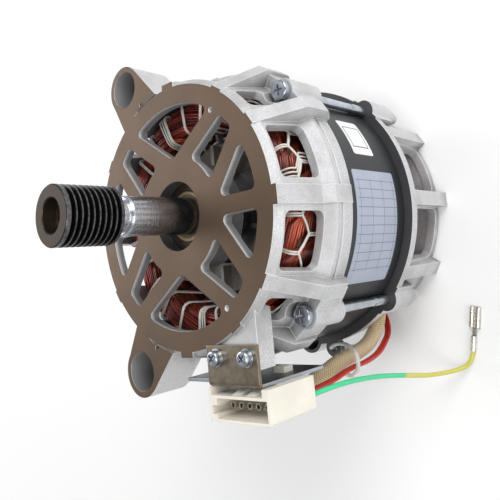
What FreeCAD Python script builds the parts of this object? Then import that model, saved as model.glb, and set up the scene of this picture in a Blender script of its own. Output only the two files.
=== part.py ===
"""Three-phase motor: parametric assembly, millimetres, +Z along the shaft towards the pulley.

The origin lies on the shaft axis in the plane of the rear shield that the motor stands on.
The mounting ears are on the +Y side, the nameplate on the -Y side, the connector on the -X side.
"""
import FreeCAD, Part
import math
import os
import re

V = FreeCAD.Vector
UP = V(0, 0, 1)
doc = FreeCAD.newDocument("motor")

# Driving dimensions, in millimetres, degrees and counts.
SIZES = {
    # Shields
    "body_length": 130.0,
    "front_depth": 39.5,
    "rear_depth": 42.0,
    "register_depth": 3.0,
    "register_play": 0.05,
    "face_radius": 60.3,
    "rim_radius": 70.0,
    "rear_face_radius": 71.8,
    "rear_ring_radius": 65.0,
    "plate_thickness": 4.5,
    "wall_thickness": 3.6,
    "rib_width": 8.0,
    "rear_rib_width": 7.5,
    "rib_radius": 70.3,
    "window_outer_radius": 51.5,
    "window_inner_radius": 27.1,
    "window_corner": 2.4,
    "spoke_width": 7.9,
    "spoke_offset_low": 17.5,
    "spoke_offset_high": 16.1,
    "spoke_angle_low": 56.0,
    "spoke_angle_high": 37.7,
    "side_window_height": 20.0,
    "rear_window_height": 24.5,
    "lip_radius": 15.8,
    "hub_wall": 4.5,
    "dimple_radius": 1.3,
    "dimple_x": 42.5,
    "dimple_y": 28.5,
    # Mounting ears
    "ear_x": 69.5,
    "ear_y": 34.7,
    "ear_bore_radius": 9.25,
    "ear_radius": 11.9,
    "ear_depth": 20.0,
    "ear_relief": 0.35,
    # Through bolts
    "bolt_circle_radius": 70.0,
    "bolt_radius": 2.25,
    "bolt_thread_radius": 2.5,
    "bolt_thread_length": 26.0,
    "bolt_head_radius": 4.6,
    "bolt_head_height": 3.4,
    "bolt_head_depth": 25.0,
    "bolt_boss_radius": 6.0,
    "bolt_play": 0.2,
    # Stator
    "stator_radius": 66.0,
    "stator_bore_radius": 38.2,
    "slot_count": 24,
    "slot_width": 6.0,
    "slot_depth": 14.5,
    "slot_opening": 2.6,
    "slot_lip": 2.3,
    "wrap_thickness": 1.2,
    "wrap_play": 0.3,
    "liner_thickness": 0.3,
    "wedge_thickness": 0.8,
    # End windings: one wire drawn stout, wound in layers
    "winding_wire": 3.7,
    "winding_pitch": 4.2,
    "winding_inner_radius": 44.6,
    "winding_layers": 4,
    "front_turns": 5,
    "rear_turns": 4,
    "winding_stand_off": 3.6,
    "lacing_cord": 1.0,
    "protector_length": 11.0,
    "protector_width": 8.0,
    "protector_height": 4.5,
    "protector_radius": 51.0,
    # Rotor and shaft
    "rotor_inset": 0.5,
    "air_gap": 0.4,
    "bar_count": 28,
    "bar_radius": 1.9,
    "bar_depth": 3.3,
    "end_ring_height": 8.0,
    "end_ring_bore": 23.0,
    "fin_count": 10,
    "fin_height": 5.0,
    "fin_thickness": 2.2,
    "shaft_core_radius": 10.0,
    "shaft_front_radius": 8.5,
    "shaft_rear_radius": 7.5,
    "shaft_neck_radius": 6.9,
    "shaft_end_radius": 5.95,
    "shaft_reach": 27.7,
    "neck_length": 5.8,
    "shaft_recess": 6.5,
    # Pulley
    "pulley_radius": 12.15,
    "pulley_pitch": 2.34,
    "groove_count": 9,
    "groove_depth": 1.9,
    "ridge_tip": 0.5,
    "pulley_counterbore": 6.9,
    "front_flange": 1.6,
    "rear_flange": 1.1,
    # Bearings
    "front_bearing_radius": 20.0,
    "front_bearing_width": 12.0,
    "front_bearing_depth": 6.0,
    "front_ball_radius": 3.35,
    "rear_bearing_radius": 17.5,
    "rear_bearing_width": 11.0,
    "rear_bearing_seat": 7.5,
    "rear_ball_radius": 2.95,
    "ball_count": 8,
    "ball_play": 0.06,
    "bearing_shield": 0.5,
    "spring_gap": 2.0,
    "spring_thickness": 0.5,
    "spring_width": 3.6,
    # Connector and bracket
    "bracket_thickness": 1.5,
    "bracket_drop": 73.0,
    "bracket_right": 43.5,
    "bracket_left": 13.5,
    "bracket_length": 40.0,
    "bracket_top": 57.5,
    "tab_length": 23.5,
    "tab_width": 13.3,
    "peg_place": 33.0,
    "peg_depth": 24.5,
    "screw_line": 62.5,
    "screw_pitch": 18.0,
    "screw_centre": 29.0,
    "screw_radius": 2.0,
    "screw_length": 7.5,
    "screw_head_radius": 3.2,
    "screw_head_height": 2.6,
    "washer_radius": 3.75,
    "washer_thickness": 0.8,
    "lug_depth": 9.0,
    "housing_thickness": 13.8,
    "latch_height": 3.2,
    "latch_depth": 10.0,
    "latch_width": 5.0,
    "housing_length": 27.5,
    "housing_wall": 1.2,
    "housing_right": 48.3,
    "housing_proud": 0.5,
    "housing_cavity": 16.0,
    "contact_pitch": 5.0,
    "contact_count": 6,
    "contact_thickness": 0.8,
    "contact_width": 2.8,
    "contact_length": 18.0,
    "pin_foot": 0.8,
    "pin_wall": 0.4,
    "entry_depth": 3.0,
    "entry_radius": 1.45,
    # Leads
    "sleeve_radius": 4.0,
    "sleeve_wall": 0.7,
    "lead_radius": 1.0,
    "lead_spacing": 2.15,
    "ground_lead_radius": 1.2,
    "protector_lead_radius": 0.9,
    "crimp_wall": 0.4,
    "terminal_length": 22.0,
    "tie_radius": 1.0,
    # Labels
    "label_thickness": 0.25,
    "nameplate_length": 34.0,
    "nameplate_angle": 46.0,
    "inspection_sticker_length": 16.0,
    "inspection_sticker_angle": 17.5,
}

sheet = doc.addObject("Spreadsheet::Sheet", "sizes")
for row, (alias, amount) in enumerate(SIZES.items(), start=1):
    sheet.set("A%d" % row, alias.replace("_", " "))
    sheet.set("B%d" % row, str(amount))
    sheet.setAlias("B%d" % row, alias)
doc.recompute()


def size(alias):
    """The number that the sheet holds under an alias."""
    return float(sheet.get(alias))


def bind(item, attribute, text):
    """Ties a property to the sheet: every alias in the text is looked up there."""
    named = re.sub(r"[a-z][a-z_]+", lambda m: ("sizes." if m.group(0) in SIZES else "") + m.group(0), text)
    item.setExpression(attribute, named)


def place(item, x="0", y="0", z="0"):
    """Ties an object's place to the sheet."""
    for axis, text in (("x", x), ("y", y), ("z", z)):
        if text != "0":
            bind(item, ".Placement.Base." + axis, text)


def cylinder(name, radius, height, x="0", y="0", z="0", angle=None, turn=0.0):
    item = doc.addObject("Part::Cylinder", name)
    bind(item, "Radius", radius)
    bind(item, "Height", height)
    if angle is not None:
        item.Angle = angle
    item.Placement.Rotation = FreeCAD.Rotation(UP, turn)
    place(item, x, y, z)
    return item


def box(name, length, width, height, x="0", y="0", z="0"):
    item = doc.addObject("Part::Box", name)
    bind(item, "Length", length)
    bind(item, "Width", width)
    bind(item, "Height", height)
    place(item, x, y, z)
    return item


def cut(name, base, tool):
    item = doc.addObject("Part::Cut", name)
    item.Base = base
    item.Tool = tool
    return item


def fuse(name, items):
    item = doc.addObject("Part::MultiFuse", name)
    item.Shapes = items
    item.Refine = True
    return item


def ring(name, inner, outer, height, z="0"):
    outside = cylinder(name + "_outside", outer, height, z=z)
    return cut(name, outside, cylinder(name + "_inside", inner, height, z=z))


def feature(name, shape):
    item = doc.addObject("Part::Feature", name)
    item.Shape = shape
    return item


def fillet(name, base, radius, keep):
    """Rounds the straight edges of an object that the test picks."""
    doc.recompute()
    item = doc.addObject("Part::Fillet", name)
    item.Base = base
    picked = [n for n, edge in enumerate(base.Shape.Edges, start=1) if keep(edge)]
    item.Edges = [(n, radius, radius) for n in picked]
    return item


def profile_body(name, points):
    """A PartDesign body turned about Z from a closed outline of (radius, height) points."""
    part = doc.addObject("PartDesign::Body", name)
    plane = next(f for f in part.Origin.OriginFeatures if f.Role == "XZ_Plane")
    drawing = part.newObject("Sketcher::SketchObject", name + "_profile")
    drawing.AttachmentSupport = (plane, [""])
    drawing.MapMode = "FlatFace"
    corners = [V(r, z, 0) for r, z in points]
    for start, end in zip(corners, corners[1:] + corners[:1]):
        drawing.addGeometry(Part.LineSegment(start, end))
    turned = part.newObject("PartDesign::Revolution", name + "_turned")
    turned.Profile = drawing
    turned.ReferenceAxis = (drawing, ["V_Axis"])
    turned.Angle = 360.0
    part.Tip = turned
    return part


def pattern(shape, count, first=0.0):
    """Copies of a shape spread evenly round the shaft axis."""
    copies = []
    for n in range(count):
        copy = shape.copy()
        copy.rotate(V(0, 0, 0), UP, first + 360.0 * n / count)
        copies.append(copy)
    return copies


def block(x0, x1, y0, y1, z0, z1):
    return Part.makeBox(x1 - x0, y1 - y0, z1 - z0, V(x0, y0, z0))


def wedge(points, width, angle):
    """A flat rib: an outline of (radius, height) points, centred on a radius at an angle."""
    corners = [V(r, -width / 2, z) for r, z in points]
    face = Part.Face(Part.makePolygon(corners + corners[:1]))
    solid = face.extrude(V(0, width, 0))
    solid.rotate(V(0, 0, 0), UP, angle)
    return solid


def at_angle(radius, angle, z=0.0):
    """A point by its distance from the shaft axis, its angle from +X and its height."""
    turn = math.radians(angle)
    return V(radius * math.cos(turn), radius * math.sin(turn), z)


def sector(inner, outer, z0, z1, start, end):
    """A piece of a tube between two angles."""
    middle = (start + end) / 2
    edges = [
        Part.LineSegment(at_angle(inner, start, z0), at_angle(outer, start, z0)).toShape(),
        Part.Arc(at_angle(outer, start, z0), at_angle(outer, middle, z0), at_angle(outer, end, z0)).toShape(),
        Part.LineSegment(at_angle(outer, end, z0), at_angle(inner, end, z0)).toShape(),
        Part.Arc(at_angle(inner, end, z0), at_angle(inner, middle, z0), at_angle(inner, start, z0)).toShape(),
    ]
    return Part.Face(Part.Wire(edges)).extrude(V(0, 0, z1 - z0))


def rounded_path(points):
    """Straight runs joined by tangent arcs, each as large as its two runs allow."""
    runs = [points[n + 1] - points[n] for n in range(len(points) - 1)]
    edges = []
    radii = []
    here = points[0]
    for n in range(1, len(points) - 1):
        before, after = runs[n - 1], runs[n]
        turn = before.getAngle(after)
        reach = 0.45 * min(before.Length, after.Length)
        radii.append(reach / math.tan(turn / 2))
        start = points[n] - V(before).normalize() * reach
        end = points[n] + V(after).normalize() * reach
        inward = (V(after).normalize() - V(before).normalize()).normalize()
        rise = radii[-1] / math.cos(turn / 2) - radii[-1]
        edges.append(Part.LineSegment(here, start).toShape())
        edges.append(Part.Arc(start, points[n] + inward * rise, end).toShape())
        here = end
    edges.append(Part.LineSegment(here, points[-1]).toShape())
    return Part.Wire(edges), radii


def tube(path, radius):
    """A round solid along a path."""
    first = path.Edges[0]
    start = first.FirstParameter
    circle = Part.Wire(Part.makeCircle(radius, first.valueAt(start), first.tangentAt(start)))
    return path.makePipeShell([circle], True, False)


def swept(name, points, radius):
    """A round lead along a route, with its volume set against section times length."""
    path, radii = rounded_path(points)
    solid = tube(path, radius)
    ratio = solid.Volume / (math.pi * radius * radius * path.Length)
    tightest = "%.1f" % min(radii) if radii else "none"
    print(name, "length %.1f" % path.Length, "volume ratio %.4f" % ratio, "tightest radius", tightest)
    return solid


# Levels that several pieces share
face_z = size("body_length")
rim_z = face_z - size("front_depth")
seat_z = rim_z + size("register_depth")
rear_z = size("rear_depth")
foot_z = rear_z - size("register_depth")
stator_r = size("stator_radius")
register_r = stator_r + size("register_play")
bolt_ring = size("bolt_circle_radius")
BOLT_ANGLES = (-135.0, -45.0, 45.0, 135.0)
pitch_angle = 360.0 / size("slot_count")


def spokes(height, z):
    """The crossing spokes of the front face, as a list of bars."""
    width = size("spoke_width")
    reach = size("window_outer_radius") + width
    bars = []
    for angle, offset in (
        (-size("spoke_angle_low"), size("spoke_offset_low")),
        (-size("spoke_angle_high"), -size("spoke_offset_high")),
    ):
        for side in (1, -1):
            for far in (1, -1):
                bar = Part.makeBox(reach, width, height, V(0, side * far * offset - width / 2, z))
                heading = side * angle if far > 0 else 180.0 + side * -angle
                bar.rotate(V(0, 0, 0), UP, heading)
                bars.append(bar)
    for side in (1, -1):
        bars.append(block(-width / 2, width / 2, min(0, side * reach), max(0, side * reach), z, z + height))
    return bars


def rounded(shape, radius, keep):
    """Rounds the edges of a bare shape that the test picks."""
    return shape.makeFillet(radius, [edge for edge in shape.Edges if keep(edge)])


def is_upright(edge):
    low, high = edge.BoundBox.ZMin, edge.BoundBox.ZMax
    return edge.BoundBox.XLength < 0.01 and edge.BoundBox.YLength < 0.01 and high - low > 0.01


def is_radial(edge):
    flat = edge.BoundBox.ZLength < 0.01
    return flat and edge.Curve.TypeId == "Part::GeomLine"


def is_lengthwise(edge):
    return edge.BoundBox.XLength > 10.0


def face_windows():
    """The ten openings of the truss-like front face."""
    z, height = face_z - size("plate_thickness") - 1, size("plate_thickness") + 2
    disc = Part.makeCylinder(size("window_outer_radius"), height, V(0, 0, z))
    disc = disc.cut(Part.makeCylinder(size("window_inner_radius"), height, V(0, 0, z)))
    openings = disc.cut(spokes(height, z)).Solids
    largest = sorted(openings, key=lambda s: s.Volume)[-10:]
    return [rounded(opening, size("window_corner"), is_upright) for opening in largest]


def side_windows(spans, z0, z1, inner, corner):
    """Openings in a shield's side wall, one for each span of angles."""
    openings = [sector(inner, 90.0, z0, z1, start, end) for start, end in spans]
    return [rounded(opening, corner, is_radial) for opening in openings]


def quadrants(start, end):
    """A span of angles from the -Y axis towards +X, mirrored into the four quadrants."""
    near = (start - 90.0, end - 90.0)
    far = (90.0 - end, 90.0 - start)
    return [near, far, (180.0 - near[1], 180.0 - near[0]), (180.0 - far[1], 180.0 - far[0])]


def front_shield():
    plate = size("plate_thickness")
    wall = size("wall_thickness")
    hub = size("front_bearing_radius") + size("hub_wall")
    bearing_top = face_z - size("front_bearing_depth")
    bearing_low = bearing_top - size("front_bearing_width")
    face_r, rim_r = size("face_radius"), size("rim_radius")
    window_z = face_z - 4.0 - size("side_window_height")
    shell = profile_body("front_shell", [
        (size("lip_radius"), face_z),
        (face_r, face_z),
        (face_r + 0.9, face_z - 1.2),
        (face_r + 2.4, face_z - 3.0),
        (face_r + 6.1, window_z),
        (rim_r, window_z - 5.0),
        (rim_r, rim_z + 8.4),
        (rim_r - 0.9, rim_z + 7.9),
        (rim_r - 0.9, rim_z + 6.9),
        (rim_r, rim_z + 6.4),
        (rim_r, rim_z),
        (register_r, rim_z),
        (register_r, seat_z),
        (register_r - wall, seat_z),
        (register_r - wall, window_z),
        (face_r - 1.4, face_z - plate),
        (hub, face_z - plate),
        (hub, bearing_low),
        (size("front_bearing_radius"), bearing_low),
        (size("front_bearing_radius"), bearing_top),
        (size("lip_radius"), bearing_top),
    ])
    doc.recompute()
    body = shell.Shape.copy()
    width = size("rib_width")
    inside = register_r - wall + 1.2
    rib_r = size("rib_radius")
    plain = [(face_r - 1.0, face_z), (face_r + 2.4, face_z), (face_r + 6.6, window_z + 1)]
    plain += [(rib_r, window_z - 4), (rib_r, rim_z), (register_r + 0.6, rim_z)]
    plain += [(register_r + 0.6, seat_z), (inside, window_z + 0.7)]
    tall_r = bolt_ring + 5.0
    head_z = face_z - size("bolt_head_depth")
    tall = [(face_r - 1.0, face_z), (face_r + 0.9, face_z), (tall_r, head_z + 2.0), (tall_r, head_z - 12.0)]
    tall += [(rim_r + 1.5, rim_z - 1.5), (register_r + 0.9, rim_z - 1.5), (register_r + 0.9, seat_z)]
    tall.append((inside, window_z + 0.7))
    added = [wedge(plain, width, angle) for angle in (-90.0, 90.0)]
    added += [wedge(plain, width, angle) for angle in (0.0, 180.0)]
    for low, high in quadrants(33.0, 57.0):
        for angle in (low, high):
            added.append(wedge(tall, width - 1.5, angle))
        added.append(sector(register_r + 0.9, tall_r - 2.0, rim_z - 1.5, head_z, low, high))
    for angle in BOLT_ANGLES:
        at = at_angle(bolt_ring, angle)
        low = rim_z - 5.5
        added.append(Part.makeCylinder(size("bolt_boss_radius"), head_z - low, V(at.x, at.y, low)))
    added += [ear_block(side) for side in (1, -1)]
    body = body.fuse(added)
    cutters = face_windows()
    windows = quadrants(6.0, 28.3) + quadrants(62.0, 84.0)[:1] + quadrants(62.0, 84.0)[2:3]
    cutters += side_windows(windows, window_z, face_z - 4.0, hub + 14.0, 3.0)
    recess = rounded(block(hub + 14.0, 90.0, -6.2, 6.2, head_z + 6.5, face_z - 4.0), 2.5, is_lengthwise)
    cutters += pattern(recess, 4, 45.0)
    for angle in BOLT_ANGLES:
        at = at_angle(bolt_ring, angle)
        hole = size("bolt_radius") + size("bolt_play")
        cutters.append(Part.makeCylinder(hole, face_z, V(at.x, at.y, 0)))
        pocket = size("bolt_head_radius") + 1.6
        cutters.append(Part.makeCylinder(pocket, size("bolt_head_depth"), V(at.x, at.y, head_z)))
    for side in (1, -1):
        at = V(side * size("ear_x"), size("ear_y"), 0)
        depth = size("ear_depth")
        bore = size("ear_bore_radius")
        cutters.append(Part.makeCylinder(bore, depth, at + V(0, 0, face_z - depth)))
        cutters.append(Part.makeCylinder(bore + size("ear_relief"), face_z - depth, at))
        cutters.append(ear_gap(side))
        depth = size("dimple_radius")
        tip = V(side * size("dimple_x"), -size("dimple_y"), face_z - depth)
        cutters.append(Part.makeCone(0.3, 2 * size("dimple_radius") - 0.3, 2 * depth, tip))
    sleeve_r = stator_r + size("wrap_thickness") + size("wrap_play")
    cutters.append(Part.makeCylinder(sleeve_r, rim_z, V(0, 0, 0)))
    cutters.append(Part.makeCylinder(register_r, size("register_depth"), V(0, 0, rim_z)))
    body = body.cut(cutters).fuse(connector_lug())
    sunk = face_z - size("bracket_thickness")
    right, left = -size("bracket_right") - 0.1, -size("bracket_left") + 0.1
    taps = [block(-90.0, 0.1 - size("bracket_top"), right, left, sunk, face_z + 1.0)]
    for n in range(2):
        at = screw_place(n)
        deep = size("screw_length")
        taps.append(Part.makeCylinder(size("screw_radius"), deep, V(at.x, at.y, sunk - deep)))
    return feature("front_shield", solid_of(body.cut(taps)))


def solid_of(shape):
    """The one solid of a joined shape, without the scraps that its cutters leave."""
    return max(shape.Solids, key=lambda s: s.Volume)


def ear_block(side):
    """A mounting ear: a boss and the web that joins it to the face ring."""
    ex, ey, depth = size("ear_x"), size("ear_y"), size("ear_depth")
    z = face_z - depth
    boss = Part.makeCylinder(size("ear_radius"), depth, V(side * ex, ey, z))
    reach = size("ear_radius") - 0.4
    outline = [
        V(ex - 5.2, ey + reach - 1.0, 0), V(47.0, 36.0, 0), V(56.5, 24.0, 0),
        V(60.8, 10.0, 0), V(ex + 8.8, ey - reach + 3.2, 0),
    ]
    points = [V(side * p.x, p.y, z) for p in outline]
    face = Part.Face(Part.makePolygon(points + points[:1]))
    web = face.extrude(V(0, 0, depth))
    wall_r = register_r - size("wall_thickness") + 1.5
    keep_out = Part.makeCone(wall_r, size("face_radius") - 2.0, depth, V(0, 0, z))
    return boss.fuse(web).cut(keep_out)


def ear_gap(side):
    """The small three-cornered gap between an ear's web and the ring."""
    ring_r = size("face_radius")
    outline = ((ring_r - 1.2, 22.9), (ring_r - 1.9, 19.3), (ring_r - 3.0, 22.6))
    corners = [V(side * x, y, 0) for x, y in outline]
    face = Part.Face(Part.makePolygon(corners + corners[:1]))
    below = Part.makeBox(200, 200, face_z - size("ear_depth") - 1, V(-100, -100, 0))
    return face.extrude(V(0, 0, face_z + 1)).cut(below)


def screw_place(n):
    """The centre of a bracket screw."""
    return V(-size("screw_line"), -size("screw_centre") + (n - 0.5) * size("screw_pitch"), 0)


def connector_lug():
    """The flat lug under the connector bracket, between the ring and the screws."""
    top = face_z - size("bracket_thickness")
    low = top - size("lug_depth")
    near, far = -size("bracket_right") + 0.5, -size("bracket_left") - 1.5
    lug = block(-size("screw_line") - 5.0, -40.0, near, far, low, top)
    keep_out = Part.makeCone(register_r - 1.0, size("face_radius") - 2.0, 24.0, V(0, 0, face_z - 24.0))
    return lug.cut(keep_out)


def rear_shield():
    plate, wall = size("plate_thickness"), size("wall_thickness")
    hub = size("rear_bearing_radius") + size("hub_wall") - 0.5
    pocket = size("rear_bearing_seat") - size("spring_gap")
    bearing_top = size("rear_bearing_seat") + size("rear_bearing_width")
    face_r, ring_r = size("rear_face_radius"), size("rear_ring_radius")
    window_top = 5.5 + size("rear_window_height")
    shell = profile_body("rear_shell", [
        (0, 0),
        (ring_r - 1.0, 0),
        (ring_r, 1.0),
        (ring_r + 0.4, 6.0),
        (register_r + 1.4, window_top),
        (face_r - 1.8, rear_z - 8.0),
        (face_r, rear_z - 5.0),
        (face_r, rear_z),
        (register_r, rear_z),
        (register_r, foot_z),
        (register_r - wall, foot_z),
        (register_r - wall, window_top),
        (ring_r - 4.4, plate),
        (hub, plate),
        (hub, bearing_top + 1.0),
        (size("rear_bearing_radius"), bearing_top + 1.0),
        (size("rear_bearing_radius"), pocket),
        (0, pocket),
    ])
    doc.recompute()
    body = shell.Shape.copy()
    rib_r = size("rib_radius")
    rib = [(ring_r - 3.2, 0), (rib_r, 0), (rib_r + 0.6, rear_z - 6.0), (register_r + 0.8, rear_z - 6.0)]
    rib += [(register_r + 0.8, foot_z), (register_r - wall + 1.2, window_top - 0.7)]
    angles = [low for low, high in quadrants(32.0, 33.0)]
    near, far = -90.0, 90.0
    added = [wedge(rib, size("rear_rib_width"), angle) for angle in (near, far, 0.0, 180.0)]
    added += [wedge(rib, size("rear_rib_width"), angle) for angle in (-58.0, 58.0, -122.0, 122.0)]
    lug_z = rear_z - 18.0
    for angle in BOLT_ANGLES:
        at = at_angle(bolt_ring, angle)
        boss = size("bolt_boss_radius") + 0.2
        added.append(Part.makeCylinder(boss, rear_z - lug_z, V(at.x, at.y, lug_z)))
        added.append(Part.makeCone(boss - 3.5, boss, 12.0, V(at.x, at.y, lug_z - 12.0)))
        added.append(sector(register_r + 0.9, bolt_ring + 2.6, lug_z + 2, rear_z, angle - 7.0, angle + 7.0))
    tie = tie_place()
    added.append(Part.makeCylinder(5.0, 4.0, V(tie.x, tie.y, rear_z - 4.0)))
    cup = V(-68.6, 3.8, 0)
    added.append(Part.makeCylinder(8.0, 13.0, V(cup.x, cup.y, rear_z - 13.0)))
    body = body.fuse(added)
    cutters = []
    for angle in range(0, 360, 45):
        start, end = angle + 22.5 - 15.5, angle + 22.5 + 15.5
        opening = sector(hub + 6.0, ring_r - 11.0, -1.0, plate + 1.0, start, end)
        cutters.append(rounded(opening, size("window_corner"), is_upright))
    spans = quadrants(4.2, 27.8) + quadrants(53.0, 86.0)
    cutters += side_windows(spans, 5.5, window_top, hub + 14.0, 2.5)
    for angle in BOLT_ANGLES:
        at = at_angle(bolt_ring, angle)
        cutters.append(Part.makeCylinder(size("bolt_thread_radius"), 14.5, V(at.x, at.y, rear_z - 14.5)))
    cutters.append(Part.makeCylinder(2.2, 6.0, V(tie.x, tie.y, rear_z - 5.0)))
    scoop = Part.makeCylinder(6.2, 11.0, V(cup.x, cup.y, rear_z - 10.0))
    cutters.append(scoop.cut(Part.makeCylinder(register_r + 3.4, 12.0, V(0, 0, rear_z - 10.5))))
    cutters.append(Part.makeCylinder(register_r, 6.0, V(0, 0, foot_z)))
    cutters.append(Part.makeCylinder(register_r - wall, foot_z - window_top, V(0, 0, window_top)))
    body = body.cut(cutters)
    return feature("rear_shield", solid_of(body))


def tie_place():
    """The hole that the cable tie goes through."""
    return V(-73.6, -12.0, 0)


def stator():
    """The laminated core with its slots, what fills them, and the sleeve round it."""
    height = "body_length - front_depth - rear_depth + 2 * register_depth"
    level = "rear_depth - register_depth"
    blank = ring("core_blank", "stator_bore_radius", "stator_radius", height, level)
    bottom = size("stator_bore_radius") + size("slot_lip")
    top = bottom + size("slot_depth")
    width, mouth = size("slot_width"), size("slot_opening")
    slot = block(bottom, top, -width / 2, width / 2, foot_z, seat_z)
    slot = rounded(slot, 1.0, is_far_upright)
    slot = slot.fuse(block(size("stator_bore_radius") - 1, bottom, -mouth / 2, mouth / 2, foot_z, seat_z))
    count = int(size("slot_count"))
    slots = feature("core_slots", Part.makeCompound(pattern(slot, count)))
    cut("stator_core", blank, slots)
    wrap_height = "body_length - front_depth - rear_depth - 2 * wrap_play"
    outside = "stator_radius + wrap_thickness"
    ring("stator_wrap", "stator_radius", outside, wrap_height, "rear_depth + wrap_play")
    liner = size("liner_thickness")
    strip = size("wedge_thickness")
    past = size("winding_stand_off") - size("winding_wire") / 2
    low, high = foot_z - past, seat_z + past
    outside = rounded(block(bottom, top, -width / 2, width / 2, low + 0.4, high - 0.4), 1.0, is_far_upright)
    inside = block(bottom - 1, top - liner, liner - width / 2, width / 2 - liner, low, high)
    inside = rounded(inside, 0.7, is_far_upright)
    feature("slot_liners", Part.makeCompound(pattern(outside.cut(inside), count)))
    inside = inside.common(block(bottom + strip, top, -width, width, low, high))
    feature("coil_sides", Part.makeCompound(pattern(inside, count)))
    tongue = block(bottom, bottom + strip, liner - width / 2, width / 2 - liner, low + 0.4, high - 0.4)
    feature("slot_wedges", Part.makeCompound(pattern(tongue, count)))


def is_far_upright(edge):
    return is_upright(edge) and edge.BoundBox.XMin > size("stator_bore_radius") + size("slot_depth")


def biarc(start, along, end, onward):
    """Two arcs that leave one point and reach another in given directions."""
    gap = end - start
    total = along + onward
    spread = 2 * (1 - along.dot(onward))
    share = gap.dot(total)
    reach = (-share + math.sqrt(share * share + spread * gap.dot(gap))) / spread
    first = start + along * reach
    last = end - onward * reach
    joint = (first + last) / 2
    heading = (last - first).normalize()
    edges = []
    for a, into, b in ((start, along, joint), (joint, heading, end)):
        chord = b - a
        normal = into.cross(chord).cross(into).normalize()
        radius = chord.dot(chord) / (2 * chord.dot(normal))
        centre = a + normal * radius
        bulge = ((a - centre) + (b - centre)).normalize() * radius
        edges.append(Part.Arc(a, centre + bulge, b).toShape())
    return edges


def end_winding(name, first_z, step, turns):
    """One unbroken wire wound in layers: each turn steps out in one quarter and on in the next."""
    heights = [first_z + step * n for n in range(turns)]
    radius = size("winding_inner_radius")
    rows = [(radius, z) for z in heights]
    for layer in range(1, int(size("winding_layers"))):
        heights.reverse()
        radius += size("winding_pitch")
        rows += [(radius, z) for z in heights[1:]]
    knots = []
    for (radius, z), following in zip(rows, rows[1:] + rows[-1:]):
        knots += [(radius, 180.0, z), (radius, 270.0, z), (radius, 0.0, z), (following[0], 90.0, z)]
    edges = []
    for before, after in zip(knots, knots[1:]):
        a, b = at_angle(*before), at_angle(*after)
        if before[0] == after[0] and before[2] == after[2]:
            edges.append(Part.Arc(a, at_angle(before[0], before[1] + 45.0, before[2]), b).toShape())
        else:
            edges += biarc(a, at_angle(1.0, before[1] + 90.0), b, at_angle(1.0, after[1] + 90.0))
    path = Part.Wire(edges)
    wire = size("winding_wire")
    least_gap(name, path, wire, at_angle(*knots[0]))
    return feature(name, tube(path, wire / 2))


def least_gap(name, path, wire, here):
    """Prints how close an unbroken wire comes to itself from one turn to the next."""
    points = []
    travelled = 0.0
    for edge in path.Edges:
        spots = edge.discretize(Number=9)
        if spots[-1].distanceToPoint(here) < spots[0].distanceToPoint(here):
            spots.reverse()
        points += [(travelled + edge.Length * n / 8.0, spot) for n, spot in enumerate(spots[:-1])]
        travelled += edge.Length
        here = spots[-1]
    nearest = 1e9
    for n, (far, spot) in enumerate(points):
        for later, other in points[n + 1:]:
            if later - far > 8 * wire:
                nearest = min(nearest, spot.distanceToPoint(other))
    print(name, "turn length %.0f" % travelled, "least gap to itself %.2f" % (nearest - wire))


def windings():
    """The two end windings and the cord hoops that lace them."""
    wire, pitch = size("winding_wire"), size("winding_pitch")
    off = size("winding_stand_off")
    layers = int(size("winding_layers"))
    count = int(size("slot_count"))
    for end, first_z, step in (("front", seat_z + off, pitch), ("rear", foot_z - off, -pitch)):
        turns = int(size(end + "_turns"))
        end_winding(end + "_winding", first_z, step, turns)
        cord = size("lacing_cord") / 2
        inner = size("winding_inner_radius") - wire / 2 - cord
        outer = inner + pitch * (layers - 1) + wire + 2 * cord
        heights = (first_z, first_z + step * (turns - 1))
        low, high = min(heights) - wire / 2 - cord, max(heights) + wire / 2 + cord
        corners = [V(inner, 0, low), V(outer, 0, low), V(outer, 0, high), V(inner, 0, high)]
        slab = Part.Face(Part.makePolygon(corners + corners[:1])).extrude(V(0, 1, 0))
        slab = rounded(slab, 1.9, lambda e: e.BoundBox.YLength > 0.9 and e.BoundBox.ZLength < 0.01)
        outline = min(slab.Faces, key=lambda f: f.CenterOfMass.y).OuterWire
        hoop = tube(outline, cord)
        feature(end + "_lacing", Part.makeCompound(pattern(hoop, count, 180.0 / count)))
    length, width, height = size("protector_length"), size("protector_width"), size("protector_height")
    top = foot_z - off - pitch * (size("rear_turns") - 1) - wire / 2
    can = block(-width / 2, width / 2, -length / 2, length / 2, top - height, top)
    can = rounded(can, 0.8, is_upright)
    can.translate(V(size("protector_radius"), 0, 0))
    can.rotate(V(0, 0, 0), UP, 360.0 / count * round(-165.0 * count / 360.0))
    feature("thermal_protector", can)


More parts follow.
